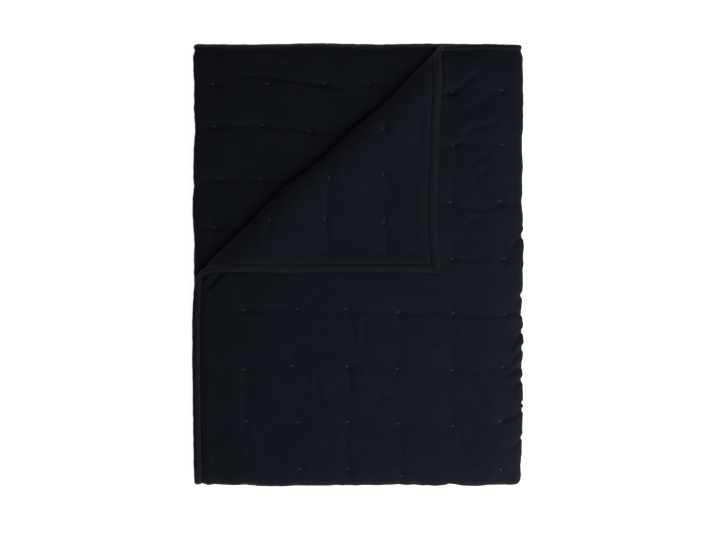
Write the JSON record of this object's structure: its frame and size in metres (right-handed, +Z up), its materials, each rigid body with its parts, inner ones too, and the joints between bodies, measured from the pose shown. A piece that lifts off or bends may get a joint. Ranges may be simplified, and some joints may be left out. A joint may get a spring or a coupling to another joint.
{
  "type": "throw blanket",
  "caption": "Tufted quilted throw with a bound edge, folded into a flat rectangular stack with one corner of the top layer turned back.",
  "frame": {"origin": "middle of the underside of the folded stack, on the surface that it lies on", "axes": "+Z up, +Y along the folded length towards the open ends, +X across towards the right-hand fold"},
  "size_m": [0.5066, 0.6774, 0.0704],
  "materials": {
    "quilt_cloth": "dark navy brushed cloth, quilted and tufted",
    "binding_cloth": "dark navy plain cloth, folded over the edge and stitched"
  },
  "bodies": {
    "root": {"quilt": "quilt_cloth", "binding_open_side": "binding_cloth", "binding_inner_side": "binding_cloth", "binding_upper_end": "binding_cloth", "binding_lower_end": "binding_cloth"}
  },
  "joints": []
}
